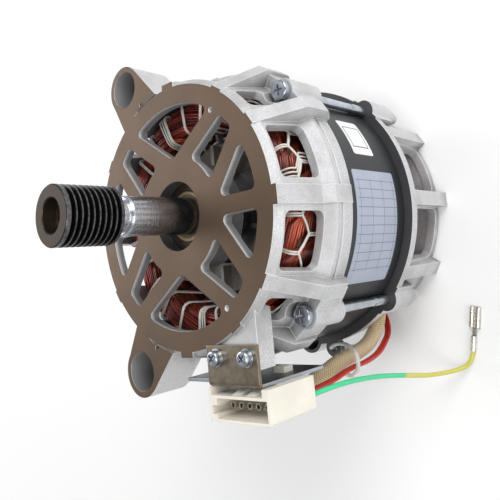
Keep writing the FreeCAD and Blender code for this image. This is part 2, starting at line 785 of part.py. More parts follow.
def rotor():
    """The laminated rotor, its cast cage, the shaft and the pulley."""
    bars = int(size("bar_count"))
    outer = "stator_bore_radius - air_gap"
    height = "body_length - front_depth - rear_depth + 2 * register_depth - 2 * rotor_inset"
    level = "rear_depth - register_depth + rotor_inset"
    blank = ring("rotor_blank", "shaft_core_radius", outer, height, level)
    low, high = foot_z + size("rotor_inset"), seat_z - size("rotor_inset")
    at = size("stator_bore_radius") - size("air_gap") - size("bar_depth")
    bar = Part.makeCylinder(size("bar_radius"), high - low, V(at, 0, low))
    holes = feature("bar_holes", Part.makeCompound(pattern(bar, bars)))
    cut("rotor_core", blank, holes)
    ring_r = at + size("bar_radius") + 0.1
    deep = size("end_ring_height")
    tall = size("fin_height")
    cast = []
    for start, side in ((low, -1), (high, 1)):
        z = start if side > 0 else start - deep
        bore = Part.makeCylinder(size("end_ring_bore"), deep, V(0, 0, z))
        solid = Part.makeCylinder(ring_r, deep, V(0, 0, z)).cut(bore)
        cast.append(solid)
        fin_z = high + deep if side > 0 else low - deep - tall
        thick = size("fin_thickness")
        fin = block(size("end_ring_bore") + 1.0, ring_r - 1.0, -thick / 2, thick / 2, fin_z, fin_z + tall)
        cast += pattern(fin, int(size("fin_count")))
    cage = pattern(bar, bars)
    feature("rotor_cage", cast[0].fuse(cast[1:] + cage).removeSplitter())
    core_r, front_r, rear_r = size("shaft_core_radius"), size("shaft_front_radius"), size("shaft_rear_radius")
    neck_z = face_z + size("shaft_reach")
    seat = neck_z + size("neck_length")
    end = seat + pulley_length() - size("shaft_recess")
    rear_shoulder = size("rear_bearing_seat") + size("rear_bearing_width")
    front_shoulder = face_z - size("front_bearing_depth") - size("front_bearing_width")
    neck_r, end_r = size("shaft_neck_radius"), size("shaft_end_radius")
    profile_body("shaft", [
        (0, size("rear_bearing_seat") - 0.5),
        (rear_r - 0.6, size("rear_bearing_seat") - 0.5),
        (rear_r, size("rear_bearing_seat") + 0.1),
        (rear_r, rear_shoulder),
        (core_r, rear_shoulder),
        (core_r, front_shoulder),
        (front_r, front_shoulder),
        (front_r, neck_z - 0.8),
        (front_r - 0.8, neck_z),
        (neck_r, neck_z),
        (neck_r, seat),
        (end_r, seat),
        (end_r, end - 0.5),
        (end_r - 0.5, end),
        (2.2, end),
        (0.6, end - 2.6),
        (0.6, end - 5.0),
        (0, end - 5.0),
    ])
    pulley(seat)


def pulley_length():
    return size("groove_count") * size("pulley_pitch") + size("front_flange") + size("rear_flange")


def pulley(seat):
    """The ribbed belt pulley, pressed on the shaft end."""
    radius, pitch = size("pulley_radius"), size("pulley_pitch")
    tip, floor = size("ridge_tip") / 2, radius - size("groove_depth")
    top = seat + pulley_length()
    start = seat + size("rear_flange")
    outline = [(size("shaft_end_radius"), seat), (radius - 0.3, seat), (radius, seat + 0.3)]
    for n in range(int(size("groove_count"))):
        z = start + n * pitch
        middle = z + pitch / 2
        outline += [(radius, z + tip), (floor, middle - 0.16), (floor, middle + 0.16)]
        outline.append((radius, z + pitch - tip))
    outline += [(radius, top - 0.4), (radius - 0.4, top), (size("pulley_counterbore") + 0.4, top)]
    wide = size("pulley_counterbore")
    outline += [(wide, top - 0.4), (wide, top - size("shaft_recess") + 1.5)]
    outline += [(size("shaft_end_radius"), top - size("shaft_recess") + 1.5)]
    profile_body("pulley", outline)


def bearing(end, bore, seat):
    """A shielded ball bearing: rings, balls, cage and shields, standing on a height."""
    outer, width = size(end + "_bearing_radius"), size(end + "_bearing_width")
    ball = size(end + "_ball_radius")
    middle = seat + width / 2
    centre = (bore + outer) / 2
    groove = Part.makeTorus(centre, ball + size("ball_play"), V(0, 0, middle))
    shoulder = ball - 0.7
    tools = feature(end + "_race", groove)
    inner_edge, outer_edge = str(centre - shoulder), str(centre + shoulder)
    blank = ring(end + "_outer_blank", outer_edge, end + "_bearing_radius", end + "_bearing_width", str(seat))
    cut(end + "_outer_ring", blank, tools)
    blank = ring(end + "_inner_blank", str(bore), inner_edge, end + "_bearing_width", str(seat))
    cut(end + "_inner_ring", blank, tools)
    sphere = Part.makeSphere(ball, V(centre, 0, middle))
    sphere.rotate(V(centre, 0, middle), UP, 90.0)
    balls = pattern(sphere, int(size("ball_count")))
    feature(end + "_balls", Part.makeCompound(balls))
    half = ball + 0.6
    cage = Part.makeCylinder(centre + 0.8, 2 * half, V(0, 0, middle - half))
    cage = cage.cut(Part.makeCylinder(centre - 0.8, 2 * half, V(0, 0, middle - half)))
    pocket = Part.makeCylinder(ball + size("ball_play"), 6.0, V(centre - 3.0, 0, middle), V(1, 0, 0))
    feature(end + "_ball_cage", cage.cut(pattern(pocket, len(balls))))
    plate = size("bearing_shield")
    plates = []
    for z in (seat + 0.3, seat + width - 0.3 - plate):
        disc = Part.makeCylinder(centre + shoulder, plate, V(0, 0, z))
        plates.append(disc.cut(Part.makeCylinder(centre - shoulder + 0.4, plate, V(0, 0, z))))
    feature(end + "_bearing_shields", Part.makeCompound(plates))


def wave_spring():
    """The wavy washer that pushes on the rear bearing's outer ring."""
    high = size("rear_bearing_seat")
    low = high - size("spring_gap")
    plate = size("spring_thickness")
    outer = size("rear_bearing_radius") - 0.3
    inner = outer - size("spring_width")
    sections = []
    for n in range(24):
        angle = 15.0 * n
        z = (low + high) / 2 + (high - low - plate) / 2 * math.cos(math.radians(3 * angle))
        outline = ((inner, -1), (outer, -1), (outer, 1), (inner, 1))
        corners = [at_angle(r, angle, z + side * plate / 2) for r, side in outline]
        sections.append(Part.makePolygon(corners + corners[:1]))
    feature("wave_spring", Part.makeLoft(sections, True, False, True))


def through_bolts():
    head_z = face_z - size("bolt_head_depth")
    end = rear_z - 14.0
    head_r, head_h = size("bolt_head_radius"), size("bolt_head_height")
    head = Part.makeCylinder(head_r, head_h, V(bolt_ring, 0, head_z))
    head = rounded(head, 0.8, lambda e: abs(e.BoundBox.ZMin - head_z - head_h) < 0.01)
    shank = Part.makeCylinder(size("bolt_radius"), head_z - end, V(bolt_ring, 0, end))
    thread = Part.makeCylinder(size("bolt_thread_radius"), size("bolt_thread_length"), V(bolt_ring, 0, end))
    bolt = head.fuse([shank, thread]).removeSplitter()
    bolt = bolt.cut(cross_recess(V(bolt_ring, 0, head_z + head_h), 2.6, 1.9))
    feature("through_bolts", Part.makeCompound(pattern(bolt, len(BOLT_ANGLES), 45.0)))


def cross_recess(top, half, depth):
    """The cross-shaped recess of a screw head."""
    bars = []
    for turn in (0.0, 90.0):
        bar = Part.makeBox(2 * half, 1.0, depth + 1, V(-half, -0.5, -depth))
        bar.rotate(V(0, 0, 0), UP, turn + 45.0)
        bars.append(bar)
    cross = bars[0].fuse(bars[1])
    cross.translate(top)
    return cross


def connector():
    """The bracket, its screws and washers, and the plug housing with its tabs."""
    plate = size("bracket_thickness")
    width = "bracket_right - bracket_left"
    flat = box("bracket_flat", "bracket_drop + bracket_thickness - bracket_top", width, "bracket_thickness",
               "-bracket_drop - bracket_thickness", "-bracket_right", "body_length - bracket_thickness")
    tray = box("bracket_tray", "bracket_thickness", width, "bracket_length",
               "-bracket_drop - bracket_thickness", "-bracket_right", "body_length - bracket_length")
    tab = box("bracket_tab", "bracket_thickness", "tab_length", "tab_width",
              "-bracket_drop - bracket_thickness", "-bracket_left", "body_length - 7.3 - tab_width")
    folded = fuse("bracket_folded", [flat, tray, tab])
    corner = V(-size("bracket_drop") - plate, 0, face_z)

    def is_fold(edge):
        reach = edge.BoundBox
        straight = reach.YLength > 5 and reach.ZLength < 0.01 and reach.XLength < 0.01
        return straight and abs(reach.XMin - corner.x) < 0.01 and abs(reach.ZMax - face_z) < 0.01

    bent = fillet("bracket_bent", folded, 2.0, is_fold)
    hole_r = size("screw_radius") + 0.2
    holes = [Part.makeCylinder(hole_r, 6.0, screw_place(n) + V(0, 0, face_z - 3.0)) for n in range(2)]
    peg_y, peg_z = -size("peg_place"), face_z - size("peg_depth")
    holes.append(block(corner.x - 1, corner.x + 3, peg_y - 3.1, peg_y + 3.1, peg_z - 2.1, peg_z + 2.1))
    cut("connector_bracket", bent, feature("bracket_holes", Part.makeCompound(holes)))
    screws = []
    washers = []
    for n in range(2):
        at = screw_place(n)
        base = face_z
        thick = size("washer_thickness")
        washer = Part.makeCylinder(size("washer_radius"), thick, V(at.x, at.y, base))
        washers.append(washer.cut(Part.makeCylinder(size("screw_radius") + 0.2, thick, V(at.x, at.y, base))))
        head_z, tall = base + thick, size("screw_head_height")
        head = Part.makeCylinder(size("screw_head_radius"), tall, V(at.x, at.y, head_z))
        head = rounded(head, 0.9, lambda e: abs(e.BoundBox.ZMin - head_z - tall) < 0.01)
        deep = size("screw_length") + plate + thick
        shank = Part.makeCylinder(size("screw_radius"), deep, V(at.x, at.y, head_z - deep))
        screw = head.fuse(shank).cut(cross_recess(V(at.x, at.y, head_z + tall), 2.1, 1.5))
        screws.append(screw)
    feature("bracket_screws", Part.makeCompound(screws))
    feature("bracket_washers", Part.makeCompound(washers))
    near = -size("bracket_drop") - plate
    far = near - size("housing_thickness")
    top = face_z + size("housing_proud")
    low = top - size("housing_length")
    right, left = -size("housing_right"), -size("bracket_left")
    shell = block(far, near, right, left, low, top)
    shell = rounded(shell, 1.0, lambda e: e.BoundBox.ZLength > 20 and e.BoundBox.XMax < far + 0.1)
    wall = size("housing_wall")
    shelf = near - size("latch_height")
    mouth = block(far + wall, shelf - wall, right + wall, left - 4.5, top - size("housing_cavity"), top + 1)
    keyway = block(far + 3.0, far + 6.5, left - 4.6, left - 1.5, top - size("housing_cavity"), top + 1)
    peg = block(near, near + plate + 2.5, peg_y - 3, peg_y + 3, peg_z - 2, peg_z + 2)
    hook = block(near + plate, near + plate + 2.5, peg_y - 3, peg_y + 3, peg_z - 3.6, peg_z + 2)
    floor = top - size("latch_depth")
    gap = block(shelf, near + 1, -size("bracket_right") - wall, left - wall, floor, top + 1)
    shell = shell.cut(gap).fuse([peg, hook]).cut([mouth, keyway])
    for n in range(2):
        y = -size("bracket_right") + 4.0 + 8.5 * n
        corners = [V(shelf, y, floor), V(near, y, floor), V(shelf, y, top - 1.0)]
        ramp = Part.Face(Part.makePolygon(corners + corners[:1])).extrude(V(0, size("latch_width"), 0))
        shell = shell.fuse(ramp)
    grips = []
    for n in range(3):
        y = right + 8.0 + 9.0 * n
        grips.append(block(far - 1, far + 0.5, y, y + 5.0, low + 3.0, low + 10.0))
    tabs = [contact(n) for n in range(int(size("contact_count")))]
    entry_r, entry_z = size("entry_radius"), size("entry_depth")
    entries = [Part.makeCylinder(entry_r, entry_z, contact_place(n)) for n in range(len(tabs))]
    feature("connector_housing", shell.cut(grips + tabs + entries))
    feature("connector_contacts", Part.makeCompound(tabs))


def contact_place(n):
    """Where a tab and its lead leave the bottom of the housing."""
    deep = size("housing_thickness") + size("latch_height")
    x = -size("bracket_drop") - size("bracket_thickness") - deep / 2
    y = -size("bracket_left") - 7.0 - n * size("contact_pitch")
    return V(x, y, face_z + size("housing_proud") - size("housing_length"))


def contact(n):
    """A flat tab in the housing's floor, rolled into an open round pin where it stands in the mouth."""
    at = contact_place(n)
    thick, wide = size("contact_thickness"), size("contact_width")
    low = at.z + size("entry_depth")
    high = low + size("contact_length")
    rolled = face_z + size("housing_proud") - size("housing_cavity") + size("pin_foot")
    top = rolled + size("pin_foot")
    tab = block(at.x - thick / 2, at.x + thick / 2, at.y - wide / 2, at.y + wide / 2, low, top)
    foot = V(at.x, at.y, rolled)
    pin = Part.makeCylinder(wide / 2, high - rolled, foot)
    pin = pin.cut(Part.makeCylinder(wide / 2 - size("pin_wall"), high - rolled, foot))
    slit = size("pin_wall") / 2
    pin = pin.cut(block(at.x - wide, at.x, at.y - slit, at.y + slit, rolled, high))
    return solid_of(tab.fuse(pin))


def lead_start(n):
    """The first points of a lead: at the foot of its tab, and just out of the housing."""
    at = contact_place(n)
    return [at + V(0, 0, size("entry_depth")), at - V(0, 0, 2.5)]


def leads():
    """The woven sleeve with its three phase leads, the two protector leads and the cable tie."""
    low = face_z + size("housing_proud") - size("housing_length")
    route = [
        V(-84.5, -27.5, low - 13.0), V(-81.5, -30.5, 78.0), V(-76.5, -32.0, 64.0), V(-75.5, -32.0, 50.0),
        V(-72.5, -32.0, 36.0), V(-62.5, -31.6, 24.0), V(-57.4, -30.6, 21.8),
    ]
    path, radii = rounded_path(route)
    outer = tube(path, size("sleeve_radius"))
    inner = tube(path, size("sleeve_radius") - size("sleeve_wall"))
    print("lead_sleeve", "length %.1f" % path.Length, "tightest radius %.1f" % min(radii))
    feature("lead_sleeve", outer.cut(inner))
    phases = []
    for n in range(3):
        shift = V(0, (1 - n) * size("lead_spacing"), 0)
        mouth = route[0] + shift - (route[1] - route[0]).normalize() * 4.0
        own = lead_start(n) + [mouth] + [point + shift for point in route[1:-1]]
        own.append(route[-1] + shift + V(1.6, 0.3, -0.6))
        phases.append(swept("phase_lead", own, size("lead_radius")))
    feature("phase_leads", Part.makeCompound(phases))
    thin = []
    for n in range(2):
        side = V(0, -n * 2.3, 0)
        own = lead_start(3 + n) + [
            V(-83.5, -36.6, 92.0) + side, V(-82.6, -37.6, 80.0) + side, V(-79.4, -38.0, 64.0) + side,
            V(-79.2, -38.0, 50.0) + side, V(-77.0, -36.6, 36.0) + side, V(-69.5, -33.6, 20.0) + side * 0.9,
            V(-60.0, -28.0, 13.2) + side * 0.9, V(-53.6, -19.5 - n, 15.0 - n * 2.2),
        ]
        thin.append(swept("protector_lead", own, size("protector_lead_radius")))
    feature("protector_leads", Part.makeCompound(thin))
    tie = tie_place()
    top, bottom = rear_z, rear_z - 4.0
    loop = [
        V(-75.0, -19.6, bottom - 3.0), V(tie.x, tie.y, bottom - 3.6), V(tie.x, tie.y, top + 3.8),
        V(-69.4, -24.0, 54.0), V(-69.0, -36.0, 60.5), V(-73.0, -43.6, 64.0), V(-80.0, -44.0, 64.5),
        V(-84.4, -37.0, 61.5), V(-83.4, -26.0, 55.0), V(-78.4, -20.6, 47.0), V(-76.0, -20.4, bottom + 1.8),
    ]
    strap = swept("cable_tie", loop, size("tie_radius"))
    head = block(-2.2, 2.2, -2.0, 2.0, -3.0, 3.0)
    head.rotate(V(0, 0, 0), V(1, 0, 0), 10.0)
    head.translate((loop[0] + loop[-1]) / 2)
    feature("cable_tie", solid_of(strap.fuse(head)))


def ground_lead():
    """The free lead from the last tab down to its push-on terminal, which lies at rear level."""
    lead_r = size("ground_lead_radius")
    rest = lead_r + size("crimp_wall")
    tip = V(-81.2, -74.5, rest)
    route = lead_start(int(size("contact_count")) - 1) + [
        V(-82.2, -47.6, 88.0), V(-82.4, -50.2, 75.0), V(-84.2, -51.6, 59.0), V(-87.3, -53.8, 42.0),
        V(-91.0, -57.0, 25.0), V(-92.6, -60.5, 11.0), V(-91.6, -68.0, 3.2), V(-87.6, -73.2, rest), tip,
    ]
    feature("ground_lead", swept("ground_lead", route, lead_r))
    heading = math.degrees(math.atan2(tip.y - route[-2].y, tip.x - route[-2].x))
    along = size("terminal_length")
    grip = Part.makeCylinder(rest, 8.0, V(-1.5, 0, rest), V(1, 0, 0))
    grip = grip.cut(Part.makeCylinder(lead_r + 0.05, 1.5, V(-1.5, 0, rest), V(1, 0, 0)))
    neck = block(5.5, along - 11.0, -1.2, 1.2, 0, 0.8)
    floor = block(along - 11.5, along, -2.9, 2.9, 0, 0.7)
    curls = []
    for side in (1, -1):
        curl = Part.makeCylinder(1.25, 11.0, V(along - 11.0, side * 1.75, 1.25), V(1, 0, 0))
        curl = curl.cut(Part.makeCylinder(0.7, 11.0, V(along - 11.0, side * 1.55, 1.3), V(1, 0, 0)))
        curls.append(curl)
    terminal = solid_of(floor.fuse([grip, neck] + curls))
    terminal.rotate(V(0, 0, 0), UP, heading)
    terminal.translate(V(tip.x, tip.y, 0))
    feature("ground_terminal", terminal)


def labels():
    """The bare nameplate and the sticker, both wrapped round the stator sleeve."""
    inner = size("stator_radius") + size("wrap_thickness")
    outer = inner + size("label_thickness")
    middle = (rear_z + rim_z) / 2
    for name, centre, drop in (("nameplate", -102.5, 0.2), ("inspection_sticker", -63.5, 1.7)):
        length, angle = size(name + "_length"), size(name + "_angle")
        low = middle - length / 2 + drop
        plate = sector(inner, outer, low, low + length, centre - angle / 2, centre + angle / 2)
        feature(name, rounded(plate, 1.2, is_short_radial))


def is_short_radial(edge):
    return is_radial(edge) and edge.Length < 1.0


# Each name is an object of the document and the file of one node
NODES = [
    "front_shield", "rear_shield", "stator_core", "stator_wrap", "slot_liners", "coil_sides", "slot_wedges",
    "front_winding", "rear_winding", "front_lacing", "rear_lacing", "thermal_protector", "rotor_core",
    "rotor_cage", "shaft", "pulley", "front_outer_ring", "front_inner_ring", "front_balls", "front_ball_cage",
    "front_bearing_shields", "rear_outer_ring", "rear_inner_ring", "rear_balls", "rear_ball_cage",
    "rear_bearing_shields", "wave_spring", "through_bolts", "connector_bracket", "bracket_screws",
    "bracket_washers", "connector_housing", "connector_contacts", "lead_sleeve", "phase_leads",
    "protector_leads", "cable_tie", "ground_lead", "ground_terminal", "nameplate", "inspection_sticker",
]

front_shield()
rear_shield()
stator()
windings()
rotor()
front_bearing_z = face_z - size("front_bearing_depth") - size("front_bearing_width")
bearing("front", size("shaft_front_radius"), front_bearing_z)
bearing("rear", size("shaft_rear_radius"), size("rear_bearing_seat"))
wave_spring()
through_bolts()
connector()
leads()
ground_lead()
labels()
doc.recompute()

for item in doc.Objects:
    if "Invalid" in item.State or "Error" in item.State:
        raise RuntimeError(item.Name + " did not build")

os.makedirs("parts", exist_ok=True)
for name in NODES:
    item = doc.getObject(name)
    item.Label = name
    shape = item.Shape
    if shape.isNull() or not shape.isValid() or not shape.Solids:
        raise RuntimeError(name + " has no valid solid")
    shape.exportStep("parts/" + name + ".step")
    print(name, len(shape.Solids), round(shape.Volume))
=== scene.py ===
"""Dresses the three-phase motor: materials, wound copper, lacing, woven sleeve, lead, floor, light and camera."""

import math
import random

import bmesh
import bpy
from mathutils import Matrix, Vector


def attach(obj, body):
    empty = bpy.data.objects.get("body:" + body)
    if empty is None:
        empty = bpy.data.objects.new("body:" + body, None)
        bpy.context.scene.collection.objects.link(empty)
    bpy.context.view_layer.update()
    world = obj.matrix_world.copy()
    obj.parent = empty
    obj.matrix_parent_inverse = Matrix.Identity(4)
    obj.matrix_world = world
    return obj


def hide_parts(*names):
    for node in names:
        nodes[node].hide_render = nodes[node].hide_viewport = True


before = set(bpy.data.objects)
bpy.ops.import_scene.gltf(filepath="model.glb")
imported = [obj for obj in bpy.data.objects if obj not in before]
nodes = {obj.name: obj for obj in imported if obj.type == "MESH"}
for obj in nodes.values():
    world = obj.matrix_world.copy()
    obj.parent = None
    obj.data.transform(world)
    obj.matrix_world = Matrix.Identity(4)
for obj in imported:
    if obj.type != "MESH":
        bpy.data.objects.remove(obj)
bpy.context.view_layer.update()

MM = 0.001  # paths and their radii are in millimetres, the frame and the materials in metres
SLOTS = 24
SLOT_PITCH = 15.0  # degrees
HALF_PITCH = SLOT_PITCH / 2
STRAND_SIDES = 6

# The radii, heights and thickness in metres that the materials follow
FRONT_FACE_Z = 0.1290
FRONT_INSIDE_TOP_Z = 0.1250
REAR_FACE_Z = 0.0363
INSIDE_RADIUS = 0.0600
WINDOW_RADIUS = 0.0525
HUB_BORE_RADIUS = 0.0207
EAR_X, EAR_Y, EAR_RADIUS, EAR_FOOT_Z = 0.0695, 0.0347, 0.0095, 0.1097
SHAFT_SHADE_Z, SHAFT_HIGHLIGHT_Z, SHAFT_END_Z = 0.1360, 0.1560, 0.1700
RIDGE_RADIUS, RECESS_RADIUS, RECESS_Z, PULLEY_FACE_Z = 0.01195, 0.0074, 0.1740, 0.1860
RACE_EDGE_RADIUS = 0.0102
FRONT_TURNS_Z, FRONT_TURNS_TOP_Z = 0.1120, 0.1150
FLANGE_Z = 0.1284
WRAP_RADIUS = 0.0675
LAMINATION = 0.0005


# Materials

def toned(colour, share):
    """A colour made darker or lighter by a share."""
    return tuple(min(1.0, c * share) for c in colour)


class Shading:
    """One node tree, with a short call for each kind of node that the materials use."""

    def __init__(self, tree):
        self.tree = tree
        self.link = tree.links.new

    def new(self, kind, **sockets):
        made = self.tree.nodes.new(kind)
        for socket, value in sockets.items():
            made.inputs[socket].default_value = value
        return made

    def maths(self, operation, *values):
        made = self.new("ShaderNodeMath")
        made.operation = operation
        for socket, value in zip(made.inputs, values):
            if isinstance(value, (int, float)):
                socket.default_value = value
            else:
                self.link(value, socket)
        return made.outputs[0]

    def plus(self, a, b):
        return self.maths("ADD", a, b)

    def minus(self, a, b):
        return self.maths("SUBTRACT", a, b)

    def times(self, a, b):
        return self.maths("MULTIPLY", a, b)

    def above(self, value, limit):
        return self.maths("GREATER_THAN", value, limit)

    def under(self, value, limit):
        return self.maths("LESS_THAN", value, limit)

    def size_of(self, value):
        return self.maths("ABSOLUTE", value)

    def length(self, a, b):
        """The length of a vector with two parts."""
        return self.maths("SQRT", self.plus(self.times(a, a), self.times(b, b)))

    def split(self, vector):
        made = self.new("ShaderNodeSeparateXYZ")
        self.link(vector, made.inputs[0])
        return made.outputs

    def mix(self, factor, a, b):
        """Mixes two colours or sockets by a factor socket."""
        made = self.new("ShaderNodeMix")
        made.data_type = "RGBA"
        self.link(factor, made.inputs[0])
        for socket, value in ((made.inputs[6], a), (made.inputs[7], b)):
            if isinstance(value, tuple):
                socket.default_value = (*value, 1.0)
            else:
                self.link(value, socket)
        return made.outputs[2]

    def ramp(self, factor, low, high):
        """Stretches a factor so that low becomes 0 and high becomes 1."""
        made = self.new("ShaderNodeMapRange", **{"From Min": low, "From Max": high})
        self.link(factor, made.inputs["Value"])
        return made.outputs[0]

    def shown_or_lit(self, lit):
        """1 for what the camera or a clear surface sees, and a plain level for the light on the object."""
        rays = self.new("ShaderNodeLightPath").outputs
        shown = self.maths("MAXIMUM", rays["Is Camera Ray"], rays["Is Transmission Ray"])
        return self.plus(self.times(shown, 1.0 - lit), lit)


class Look(Shading):
    """A material: its shader with the constants on its own sockets, and the place that a node can ask for."""

    def __init__(self, name, base, rough=0.5, metallic=0.0, **more):
        self.mat = bpy.data.materials.new(name)
        self.mat.use_nodes = True
        super().__init__(self.mat.node_tree)
        self.inputs = self.tree.nodes["Principled BSDF"].inputs
        self.inputs["Base Color"].default_value = (*base, 1.0)
        self.inputs["Roughness"].default_value = rough
        self.inputs["Metallic"].default_value = metallic
        for socket, value in more.items():
            self.inputs[socket.replace("_", " ")].default_value = value
        self.mat.diffuse_color = (*base, 1.0)
        coordinates = self.new("ShaderNodeTexCoord").outputs
        self.place = coordinates["Object"]
        self.x, self.y, self.z = self.split(self.place)
        self.facing = self.split(coordinates["Normal"])
        self.unwrapped = coordinates["UV"]

    def around(self):
        """The distance from the shaft's axis."""
        return self.length(self.x, self.y)

    def noise(self, scale, detail=3.0, rough=0.5):
        made = self.new("ShaderNodeTexNoise", Scale=scale, Detail=detail, Roughness=rough)
        self.link(self.place, made.inputs["Vector"])
        return made.outputs[0]

    def lines(self, along, density, detail=2.0):
        """Fine lines: noise that changes along one measure only."""
        made = self.new("ShaderNodeTexNoise", Scale=1.0, Detail=detail, Roughness=0.5)
        made.noise_dimensions = "1D"
        self.link(self.times(along, density), made.inputs["W"])
        return made.outputs[0]

    def bevel(self, radius, samples):
        """The surface's direction with its edges rounded off."""
        made = self.new("ShaderNodeBevel", Radius=radius)
        made.samples = samples
        return made.outputs[0]

    def colour(self, socket):
        self.link(socket, self.inputs["Base Color"])

    def roughness(self, socket):
        self.link(socket, self.inputs["Roughness"])

    def bump(self, height, strength, distance, edge=0.0):
        made = self.new("ShaderNodeBump", Strength=strength, Distance=distance)
        self.link(height, made.inputs["Height"])
        if edge:
            self.link(self.bevel(edge, samples=4), made.inputs["Normal"])
        self.link(made.outputs[0], self.inputs["Normal"])


def casting(name, machined_z, machined, machined_rough, inside_top):
    """Sand-grey die casting with machined faces at and above one height."""
    raw_rough, raw_metallic, machined_metallic = 0.52, 0.6, 0.7
    look = Look(name, (0.62, 0.62, 0.62), rough=0.5, metallic=raw_metallic)
    around = look.around()
    grain = look.noise(3200.0, detail=4.0, rough=0.6)
    patches = look.noise(60.0)
    light = look.mix(look.ramp(grain, 0.36, 0.62), (0.46, 0.462, 0.472), (0.76, 0.76, 0.77))
    light = look.mix(look.ramp(patches, 0.45, 0.85), light, (0.40, 0.398, 0.40))

    # The shaded inside
    within = look.times(look.under(around, INSIDE_RADIUS), look.under(look.z, inside_top))
    light = look.mix(within, light, (0.115, 0.107, 0.100))

    # The walls of the windows in the face: painted shade, with a painted highlight on the lip
    shaded_window_wall = look.times(look.under(around, WINDOW_RADIUS), look.under(look.facing[2], 0.5))
    lip = look.ramp(look.z, machined_z - 0.0010, machined_z + 0.0003)
    light = look.mix(shaded_window_wall, light, look.mix(lip, (0.36, 0.362, 0.37), (0.88, 0.88, 0.89)))

    # Painted shade in the bores of the two ears, darker with depth, and in the hub's bore
    reach = look.minus(look.size_of(look.x), EAR_X)
    shaded_ear_bore = look.under(look.length(reach, look.minus(look.y, EAR_Y)), EAR_RADIUS)
    shaded_ear_bore = look.times(shaded_ear_bore, look.above(look.z, EAR_FOOT_Z))
    depth = look.ramp(look.z, machined_z - 0.0100, machined_z)
    light = look.mix(shaded_ear_bore, light, look.mix(depth, (0.10, 0.10, 0.10), (0.42, 0.42, 0.42)))
    light = look.mix(look.under(around, HUB_BORE_RADIUS), light, (0.055, 0.052, 0.048))

    # Painted shade in the hollows and a painted highlight along the edges
    hollow_shade = look.new("ShaderNodeAmbientOcclusion", Distance=0.014)
    hollow_shade.samples = 8
    light = look.mix(look.ramp(hollow_shade.outputs["AO"], 0.75, 0.20), light, (0.17, 0.168, 0.165))
    lean = look.new("ShaderNodeVectorMath")
    lean.operation = "DOT_PRODUCT"
    look.link(look.bevel(0.0006, samples=6), lean.inputs[0])
    look.link(look.new("ShaderNodeNewGeometry").outputs["Normal"], lean.inputs[1])
    light = look.mix(look.ramp(lean.outputs["Value"], 0.99, 0.90), light, (0.90, 0.90, 0.90))

    # The machined faces, with turning lines round the axis
    mask = look.times(look.above(look.facing[2], 0.96), look.above(look.z, machined_z))
    lines = look.lines(around, 4200.0)
    turned = look.mix(look.ramp(lines, 0.3, 0.7), toned(machined, 0.86), toned(machined, 1.14))
    turned = look.mix(look.ramp(patches, 0.35, 0.9), turned, toned(machined, 1.25))
    look.colour(look.mix(mask, light, turned))
    look.roughness(look.plus(look.times(mask, machined_rough - raw_rough), raw_rough))
    look.link(look.plus(look.times(mask, machined_metallic - raw_metallic), raw_metallic), look.inputs["Metallic"])
    raw_relief = look.times(look.minus(1.0, mask), grain)
    relief = look.plus(raw_relief, look.times(mask, look.times(lines, 0.12)))
    look.bump(relief, strength=0.7, distance=0.0002, edge=0.0005)
    return look.mat


def metal(name, base, rough, edge=0.0, grain=900.0):
    """Bare or plated metal with fine wear."""
    look = Look(name, base, rough, metallic=1.0)
    wear = look.noise(grain)
    look.colour(look.mix(look.ramp(wear, 0.3, 0.7), toned(base, 0.78), toned(base, 1.15)))
    look.roughness(look.plus(look.times(wear, 0.16), rough - 0.08))
    look.bump(wear, strength=0.12, distance=0.0001, edge=edge)
    return look.mat


def shaft_material():
    """Ground steel with fine lines round the axis, with painted shade by the shield going over into a painted
    highlight towards the pulley, and a brown end face lightened as painted light in the pulley's recess.
    """
    look = Look("shaft_polished", (0.5, 0.5, 0.52), rough=0.24, metallic=1.0)
    turned = look.lines(look.z, 2200.0, detail=3.0)
    wear = look.plus(look.times(turned, 0.7), look.times(look.noise(500.0), 0.3))
    fine = look.ramp(wear, 0.3, 0.7)
    # Painted shade by the shield, going over into a painted highlight towards the pulley
    shaded_near = look.mix(fine, (0.17, 0.18, 0.20), (0.30, 0.31, 0.34))
    far = look.mix(fine, (0.62, 0.66, 0.72), (0.90, 0.93, 1.0))
    body = look.mix(look.ramp(look.z, SHAFT_SHADE_Z, SHAFT_HIGHLIGHT_Z), shaded_near, far)
    # Painted light: the end face in the pulley's recess is a light brown against the recess's shade
    end = look.times(look.above(look.z, SHAFT_END_Z), look.above(look.facing[2], 0.8))
    look.colour(look.mix(end, body, (0.60, 0.46, 0.34)))
    look.roughness(look.plus(look.times(wear, 0.2), 0.16))
    look.bump(wear, strength=0.12, distance=0.0001, edge=0.0004)
    return look.mat


def plastic(name, base, rough, grain=1800.0, depth=0.00006, **more):
    """Moulded plastic or rubber with a faint skin texture."""
    look = Look(name, base, rough, **more)
    clouds = look.noise(90.0, detail=2.0)
    look.colour(look.mix(look.ramp(clouds, 0.35, 0.75), toned(base, 0.93), toned(base, 1.05)))
    look.bump(look.noise(grain), strength=0.3, distance=depth, edge=0.0003)
    return look.mat


def pulley_material():
    """Black oxide with bright ridge tips, worn and with a painted highlight, a brown turned front face, and brown
    painted light in the recess in it.
    """
    black = (0.012, 0.012, 0.013)
    look = Look("pulley_black_oxide", black, rough=0.34, metallic=0.8)
    around = look.around()
    wear = look.noise(700.0)
    # Grey tips on the ridges: wear, and a painted highlight
    ridge = look.times(look.above(around, RIDGE_RADIUS), look.ramp(wear, 0.2, 0.75))
    body = look.mix(ridge, black, (0.16, 0.16, 0.165))
    # Painted light: a brown lighter than the black oxide, in the recess against its shade
    recess = look.times(look.under(around, RECESS_RADIUS), look.above(look.z, RECESS_Z))
    body = look.mix(recess, body, (0.055, 0.042, 0.030))
    front = look.times(look.above(look.facing[2], 0.8), look.above(look.z, PULLEY_FACE_Z))
    face = look.mix(look.lines(around, 5200.0), (0.030, 0.020, 0.012), (0.060, 0.041, 0.025))
    look.colour(look.mix(front, body, face))
    look.roughness(look.plus(look.times(front, 0.26), 0.34))
    look.bump(wear, strength=0.15, distance=0.0001)
    return look.mat


